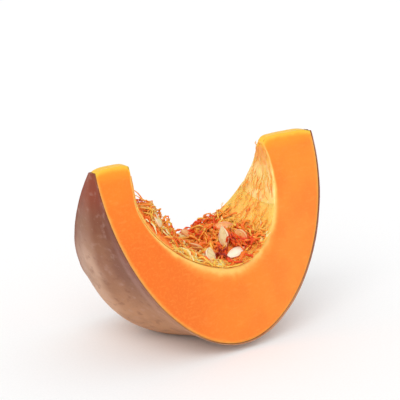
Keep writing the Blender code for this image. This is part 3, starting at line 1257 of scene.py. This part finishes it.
@dataclass
class PulpStrings:
    """The strings that run through the pulp and up the wall."""

    shape: PulpShape
    bed: PulpBed
    sets: tuple[StringSet, ...]
    stations: int = 12  # points along a string, and round it
    sides: int = 5
    waver: float = 0.5  # how far a heading swings, radians
    waves: tuple[float, float] = (5.0, 12.0)  # the swing's turns along a string, radians
    swellings: tuple[float, float] = (8.0, 20.0)  # the same for its thickness
    end_gap: float = 2.0 * MM  # kept from the crests
    squeeze: float = 1.15
    sway: float = 0.5 * MM  # unevenness of the height, and its size
    sway_size: float = 4.0 * MM
    lowest: float = 0.15 * MM
    tint_noise: float = 0.26
    tint_size: float = 10.0 * MM
    tint_lift: float = 0.12
    blossom_redder: float = 0.26  # how much redder the strings get between two places along the axis
    redder_from: tuple[float, float] = (-4.0 * MM, 14.0 * MM)
    nest_fades: tuple[float, float] = (2.1, 2.4)  # where that fades out up the wall, radians
    clearing: float = 5.0 * MM  # how near a string may pass to the middle of a seed that shows
    clear_of: tuple[str, ...] = ("seed_01", "seed_03")
    redder: tuple[RedPatch, ...] = (RedPatch(88.0, 7.0, 6.0, 5.0, 1.10), RedPatch(46.0, 3.0, 7.0, 8.0, 0.50))

    def courses(self, kind: StringSet, draw: np.random.Generator) -> tuple[Array, Array, Array]:
        """Walks every string of a set at once, its heading turning steadily and wavering by a sine.

        A string that would pass an end of the hollow is folded back there, and one that nears a cut face
        is squeezed in by a tanh.

        Args:
            kind: what the strings are like.
            draw: the set's own random numbers.

        Returns:
            Distances along the wall and across it, by string and station, and each string's curl.
        """
        fruit, count = self.shape.fruit, kind.count
        angle = np.radians(draw.uniform(*kind.angles, count))
        turn = np.radians(draw.uniform(*kind.turns, count))
        length = draw.uniform(*kind.lengths, count) * MM
        heading = np.radians(kind.heading + kind.spread * draw.uniform(-1.0, 1.0, count))
        share = self.shares()
        curl = draw.normal(0.0, kind.curl, (count, 1))
        amount = draw.normal(0.0, self.waver, (count, 1))
        course = heading[:, None] + curl * (share - 0.5)
        course = course + amount * np.sin(share * draw.uniform(*self.waves, (count, 1)) + curl)
        step = (length / (self.stations - 1))[:, None]
        reach = fruit.wall_distance(angle)[:, None] + np.cumsum(np.cos(course) * step, axis=1)
        across = turn[:, None] * fruit.hollow_depth + np.cumsum(np.sin(course) * step, axis=1)
        first, last = (fruit.wall_distance(end) for end in fruit.hollow_ends(0.0))
        last = last - self.end_gap
        first = first + self.end_gap
        reach = last - np.abs(last - reach)
        reach = first + np.abs(reach - first)
        back, front = (edge * fruit.hollow_depth for edge in (fruit.back, fruit.front))
        middle, half = (back + front) / 2.0, (front - back) / 2.0 + kind.over * MM
        across = middle + half * np.tanh((across - middle) / half * self.squeeze) / math.tanh(self.squeeze)
        return reach, across, curl

    def shares(self) -> Array:
        """Each station's place along its string, from 0 to 1, as one row."""
        return np.linspace(0.0, 1.0, self.stations)[None]

    def paths(self, kind: StringSet) -> tuple[Array, Array, Array]:
        """Lays a set's strings on the pulp: each rises between its ends by a sine to the power 0.8.

        Args:
            kind: what the strings are like.

        Returns:
            Points, half thicknesses and tints, by string and station.
        """
        fruit, share = self.shape.fruit, self.shares()
        draw = np.random.default_rng(kind.seed)
        reach, across, curl = self.courses(kind, draw)
        angle, turn = fruit.wall_angle(reach), across / fruit.hollow_depth
        one_each = (kind.count, 1)
        rise = draw.uniform(*kind.arch, one_each) * MM * np.sin(math.pi * share) ** 0.8
        sway = layered_noise(np.stack([reach, across], axis=-1) / self.sway_size, kind.seed) * self.sway
        under = self.shape.thickness(angle, turn) * self.bed.fullness(self.bed.relief(angle, turn))
        height = np.maximum(under + kind.lift * MM + rise + sway, self.lowest)
        points = fruit.raised(angle, turn, height)
        thick = draw.uniform(0.0, 1.0, one_each)
        radii = (kind.radii[0] + (kind.radii[1] - kind.radii[0]) * thick) * MM
        ends = 0.25 + 0.75 * np.sin(math.pi * np.clip(share, 0.02, 0.98)) ** 0.5
        uneven = 1.0 + 0.25 * np.sin(share * draw.uniform(*self.swellings, one_each) + curl)
        tint = draw.uniform(*kind.tints, one_each) + self.tint_shift(reach, across, turn)
        keep = self.clear(points)
        return points[keep], (radii * ends * uneven)[keep], tint[keep]

    def clear(self, points: Array) -> Array:
        """Which strings pass no seed that lies open too closely, by the distance to its middle.

        Args:
            points: the strings' points.

        Returns:
            True for each string that stays.
        """
        middles = np.array([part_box(node) for node in self.clear_of]).mean(axis=1)
        gaps = np.linalg.norm(points[:, :, None] - middles, axis=-1).min(axis=(1, 2))
        return gaps > self.clearing

    def tint_shift(self, reach: Array, across: Array, turn: Array) -> Array:
        """Yellower and redder strings by slow noise, redder towards the blossom end, and crimson patches.

        Args:
            reach: distances along the wall.
            across: distances across it.
            turn: turns round the axis.

        Returns:
            How far each station's tint moves, where less is redder.
        """
        fruit = self.shape.fruit
        places = np.stack([reach, across], axis=-1)
        shift = self.tint_noise * layered_noise(places / self.tint_size, 61) + self.tint_lift
        along = fruit.hollow(fruit.wall_angle(reach))[0]
        foot, top = (fruit.wall_distance(angle) for angle in self.nest_fades)
        nest = smooth(reach, top, foot)
        shift = shift - self.blossom_redder * smooth(along, *self.redder_from) * nest
        for patch in self.redder:
            away = (reach - fruit.wall_distance(math.radians(patch.angle))) / (patch.spread * MM)
            turned = (turn - math.radians(patch.turn)) / math.radians(patch.turn_spread)
            shift = shift - patch.depth * np.exp(-(away**2) - turned**2)
        return shift

    def build(self) -> list[bpy.types.Object]:
        """Makes one piece for each set of strings.

        Returns:
            The pieces.
        """
        material = PULP_STRING.make()
        pieces = []
        for kind in self.sets:
            points, radii, tint = self.paths(kind)
            patch = tubes(points, radii, self.sides, tint, kind.flat)
            piece = make_piece(kind.name, [patch], [material])
            pieces.append(place_piece(piece, "pulp", "pulp"))
        return pieces


STRING_SETS = (
    StringSet(
        "nest_strings", seed=101, count=230, angles=(40, 132), turns=(-25, 14), lengths=(8, 19),
        radii=(0.40, 1.00), arch=(0.3, 3.4), tints=(0.10, 0.85),
    ),
    StringSet(
        "nest_threads", seed=102, count=90, angles=(38, 138), turns=(-26, 15), lengths=(8, 22),
        radii=(0.18, 0.36), arch=(0.6, 5.0), tints=(0.35, 1.0),
    ),
    StringSet(
        "nest_sheets", seed=106, count=110, angles=(42, 130), turns=(-24, 13), lengths=(6, 14),
        radii=(0.26, 0.42), arch=(0.2, 3.0), tints=(0.15, 0.90), flat=4.5,
    ),
    StringSet(
        "seed_covers", seed=110, count=46, angles=(92, 132), turns=(-26, -10), lengths=(10, 20),
        radii=(0.40, 0.90), arch=(2.5, 6.0), tints=(0.1, 0.85),
    ),
    StringSet(
        "blossom_covers", seed=111, count=34, angles=(112, 136), turns=(-2, 12), lengths=(9, 18),
        radii=(0.40, 0.85), arch=(2.0, 5.0), tints=(0.1, 0.70),
    ),
    StringSet(
        "upright_covers", seed=113, count=13, angles=(102, 113), turns=(-1, 5), lengths=(8, 14),
        radii=(0.35, 0.70), arch=(5.5, 8.5), tints=(-0.2, 0.35), heading=90, spread=60,
    ),
    StringSet(
        "wall_threads", seed=103, count=84, angles=(116, 168), turns=(-27, 15), lengths=(5, 17),
        radii=(0.16, 0.36), arch=(0.3, 2.0), tints=(0.36, 0.74), spread=35,
    ),
    StringSet(
        "wall_hairs", seed=107, count=50, angles=(165, 205), turns=(-26, 14), lengths=(4, 12),
        radii=(0.10, 0.20), arch=(0.2, 1.2), tints=(0.30, 0.8), spread=35,
    ),
    StringSet(
        "stem_strings", seed=104, count=120, angles=(3, 46), turns=(-22, 14), lengths=(9, 22),
        radii=(0.30, 0.80), arch=(0.6, 4.0), tints=(0.0, 0.90), spread=30,
    ),
    StringSet(
        "stem_loops", seed=108, count=40, angles=(2, 30), turns=(-12, 9), lengths=(10, 20),
        radii=(0.30, 0.65), arch=(2.0, 7.0), tints=(0.0, 0.90), spread=25,
    ),
    StringSet(
        "stem_tufts", seed=112, count=22, angles=(-1, 9), turns=(-14, 9), lengths=(9, 17),
        radii=(0.28, 0.60), arch=(4.0, 9.0), tints=(0.0, 0.80), spread=20,
    ),
    StringSet(
        "loose_strands", seed=109, count=4, angles=(-3, 0), turns=(-6, 6), lengths=(18, 23),
        radii=(0.35, 0.50), arch=(6.0, 9.0), tints=(0.1, 0.6), spread=6, curl=0.1,
    ),
    StringSet(
        "rim_threads", seed=105, count=170, angles=(40, 126), turns=(11, 16), lengths=(6, 16),
        radii=(0.22, 0.55), arch=(0.1, 1.4), tints=(0.40, 0.90), spread=45, over=0.7,
    ),
)


# ---------------------------------------------------------------- seeds


@dataclass
class Seed:
    """One flat seed: a teardrop with a domed face and a raised rim."""

    node: str
    along_steps: int = 40
    around_steps: int = 40
    rim: float = 0.16  # share of the half width that the rim takes
    rim_height: float = 0.22  # how far the rim stands over the face, as a share of the half thickness
    lopsided: float = 1.25  # more than 1 moves the widest place towards the point
    blunt: float = 0.7  # how quickly it widens from its ends
    narrowing: float = 0.18  # how much width it loses from one end to the other

    def pose(self) -> tuple[Array, Array, Array]:
        """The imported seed's middle, its three directions and its size along each.

        The longest spread of its points is its length, the shortest its thickness, and its wider half
        is the round end.

        Returns:
            The middle, the directions as rows, and the three sizes.
        """
        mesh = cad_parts[self.node].data
        points = np.empty(len(mesh.vertices) * 3)
        mesh.vertices.foreach_get("co", points)
        points = np.unique(points.reshape(-1, 3).round(7), axis=0)
        centred = points - points.mean(axis=0)
        directions = np.linalg.svd(centred, full_matrices=False)[2]
        local = centred @ directions.T
        wide = np.abs(local[:, 1])
        if wide[local[:, 0] > 0.0].mean() > wide[local[:, 0] < 0.0].mean():
            directions[0] *= -1.0
        directions[2] = np.cross(directions[0], directions[1])
        local = centred @ directions.T
        low, high = local.min(axis=0), local.max(axis=0)
        return points.mean(axis=0) + (low + high) / 2.0 @ directions, directions, high - low

    def build(self, material: bpy.types.Material) -> bpy.types.Object:
        """Rings round the seed's length; a ring is a lens whose edge is thickened into a rim.

        The half width is a sine of the place along the seed, moved a little and narrowed. The half
        thickness is a root of 1 - x^2 across the ring, with a bell at the rim.

        Args:
            material: the hull's material.

        Returns:
            The hull's piece.
        """
        middle, directions, size = self.pose()
        share = (1.0 - np.cos(math.pi * np.linspace(0.0, 1.0, self.along_steps + 1))) / 2.0
        share = np.clip(share, 1e-4, 1.0 - 1e-4)[:, None]
        side = np.linspace(0.0, 2.0 * math.pi, self.around_steps, endpoint=False)[None]
        half_width = np.sin(math.pi * share**self.lopsided) ** self.blunt * (1.0 - self.narrowing * share)
        half_width = half_width / half_width.max() * size[1] / 2.0
        across = np.cos(side)
        inward = 1.0 - np.abs(across)
        face = 0.62 * (1.0 - across**2) ** 0.35 + 0.20 * (1.0 - across**2)
        rim = self.rim_height * np.exp(-(((inward - self.rim) / (0.55 * self.rim)) ** 2))
        thick = (face + rim) * np.sign(np.sin(side)) * (np.abs(np.sin(side)) > 1e-9)
        taper = (half_width / half_width.max()) ** 0.6
        local = np.stack(
            [
                np.broadcast_to((share - 0.5) * size[0], (share.size, side.size)),
                half_width * across,
                thick * taper * size[2] / 2.0,
            ],
            axis=-1,
        )
        edge = np.maximum(np.abs(across), np.abs(2.0 * share - 1.0) ** 4)
        marks = {"edge": edge, "tip": np.broadcast_to(share, edge.shape)}
        points = middle + local @ directions
        rings = share.size
        ends = np.stack([np.arange(side.size)[::-1], np.arange(side.size) + (rings - 1) * side.size])
        whole = Patch(points, marks, (grid_faces(rings, side.size, wrap=True), ends))
        piece = make_piece(self.node.replace("seed", "hull"), [whole], [material])
        return place_piece(piece, "seed_hull", self.node)


# ---------------------------------------------------------------- studio


@dataclass
class Studio:
    """A sheet of white paper, soft light from all round, a broad lamp and the camera."""

    azimuth: float = -37.36  # degrees; 0 looks along +Y
    elevation: float = 17.07
    distance: float = 1.1006
    aim: tuple[float, float, float] = (-0.0062, -0.0144, 0.0982)
    lens: float = 148.8  # millimetres, on a 36 mm sensor
    sky: float = 0.84
    lamp: float = 1.10  # watts on a square metre
    lamp_spread: float = 50.0  # degrees across, which softens its shadows
    lamp_from: tuple[float, float, float] = (-0.62, -0.52, 0.72)
    paper_width: float = 12.0
    paper_gap: float = 0.02 * MM  # between the slice and the paper

    def direction(self) -> Vector:
        """The direction from the aim towards the camera.

        Returns:
            It, one long.
        """
        turn, rise = math.radians(self.azimuth), math.radians(self.elevation)
        return Vector((math.sin(turn) * math.cos(rise), -math.cos(turn) * math.cos(rise), math.sin(rise)))

    def camera(self) -> None:
        """Places the camera, with no depth of field and no shift."""
        data = bpy.data.cameras.new("camera")
        data.lens = self.lens
        data.sensor_width = 36.0
        camera = bpy.data.objects.new("camera", data)
        bpy.context.scene.collection.objects.link(camera)
        towards = self.direction()
        camera.location = Vector(self.aim) + towards * self.distance
        camera.rotation_euler = (-towards).to_track_quat("-Z", "Y").to_euler()
        bpy.context.scene.camera = camera

    def floor(self) -> None:
        """A wide flat sheet, lying just under the slice."""
        place = np.linspace(-self.paper_width / 2.0, self.paper_width / 2.0, 25)
        x, y = np.meshgrid(place, place)
        points = np.stack([x, y, np.full(x.shape, -self.paper_gap)], axis=-1)
        floor = make_piece("paper_floor", [Patch(points)], [STUDIO_PAPER.make()])

    def lights(self) -> None:
        """An even white surround and one broad lamp from the upper left, far enough to light all alike."""
        world = bpy.data.worlds.new("studio")
        bpy.context.scene.world = world
        world.use_nodes = True
        world.node_tree.nodes["Background"].inputs["Color"].default_value = (1.0, 1.0, 1.0, 1.0)
        world.node_tree.nodes["Background"].inputs["Strength"].default_value = self.sky
        data = bpy.data.lights.new("soft_lamp", "SUN")
        data.energy = self.lamp
        data.angle = math.radians(self.lamp_spread)
        lamp = bpy.data.objects.new("soft_lamp", data)
        bpy.context.scene.collection.objects.link(lamp)
        lamp.rotation_euler = (-Vector(self.lamp_from)).to_track_quat("-Z", "Y").to_euler()

    def build(self) -> None:
        """Sets the studio up."""
        bpy.context.scene.view_settings.view_transform = "Standard"
        self.camera()
        self.floor()
        self.lights()


# The seeds that lie open. The others are still wrapped in pulp.
HULL_FINISHES = {"seed_01": PALE_HULL, "seed_02": SEED_HULL, "seed_03": SEED_HULL, "seed_05": SEED_HULL}


def main() -> None:
    """Builds the slice's pieces in order."""
    Studio().build()
    fruit = Fruit()
    fruit.stand_in("pumpkin_flesh")
    log.info("axis at %s", fruit.shift.round(5).tolist())
    FleshWedge(fruit).build()
    Rind(fruit).build()
    pulp = PulpShape(fruit)
    bed = PulpBed(pulp)
    bed.build()
    PulpStrings(pulp, bed, STRING_SETS).build()
    hulls = {finish.name: finish.make() for finish in (PALE_HULL, SEED_HULL, STAINED_HULL)}
    for node in sorted(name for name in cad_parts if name.startswith("seed")):
        Seed(node).build(hulls[HULL_FINISHES.get(node, STAINED_HULL).name])


if __name__ == "__main__":
    main()
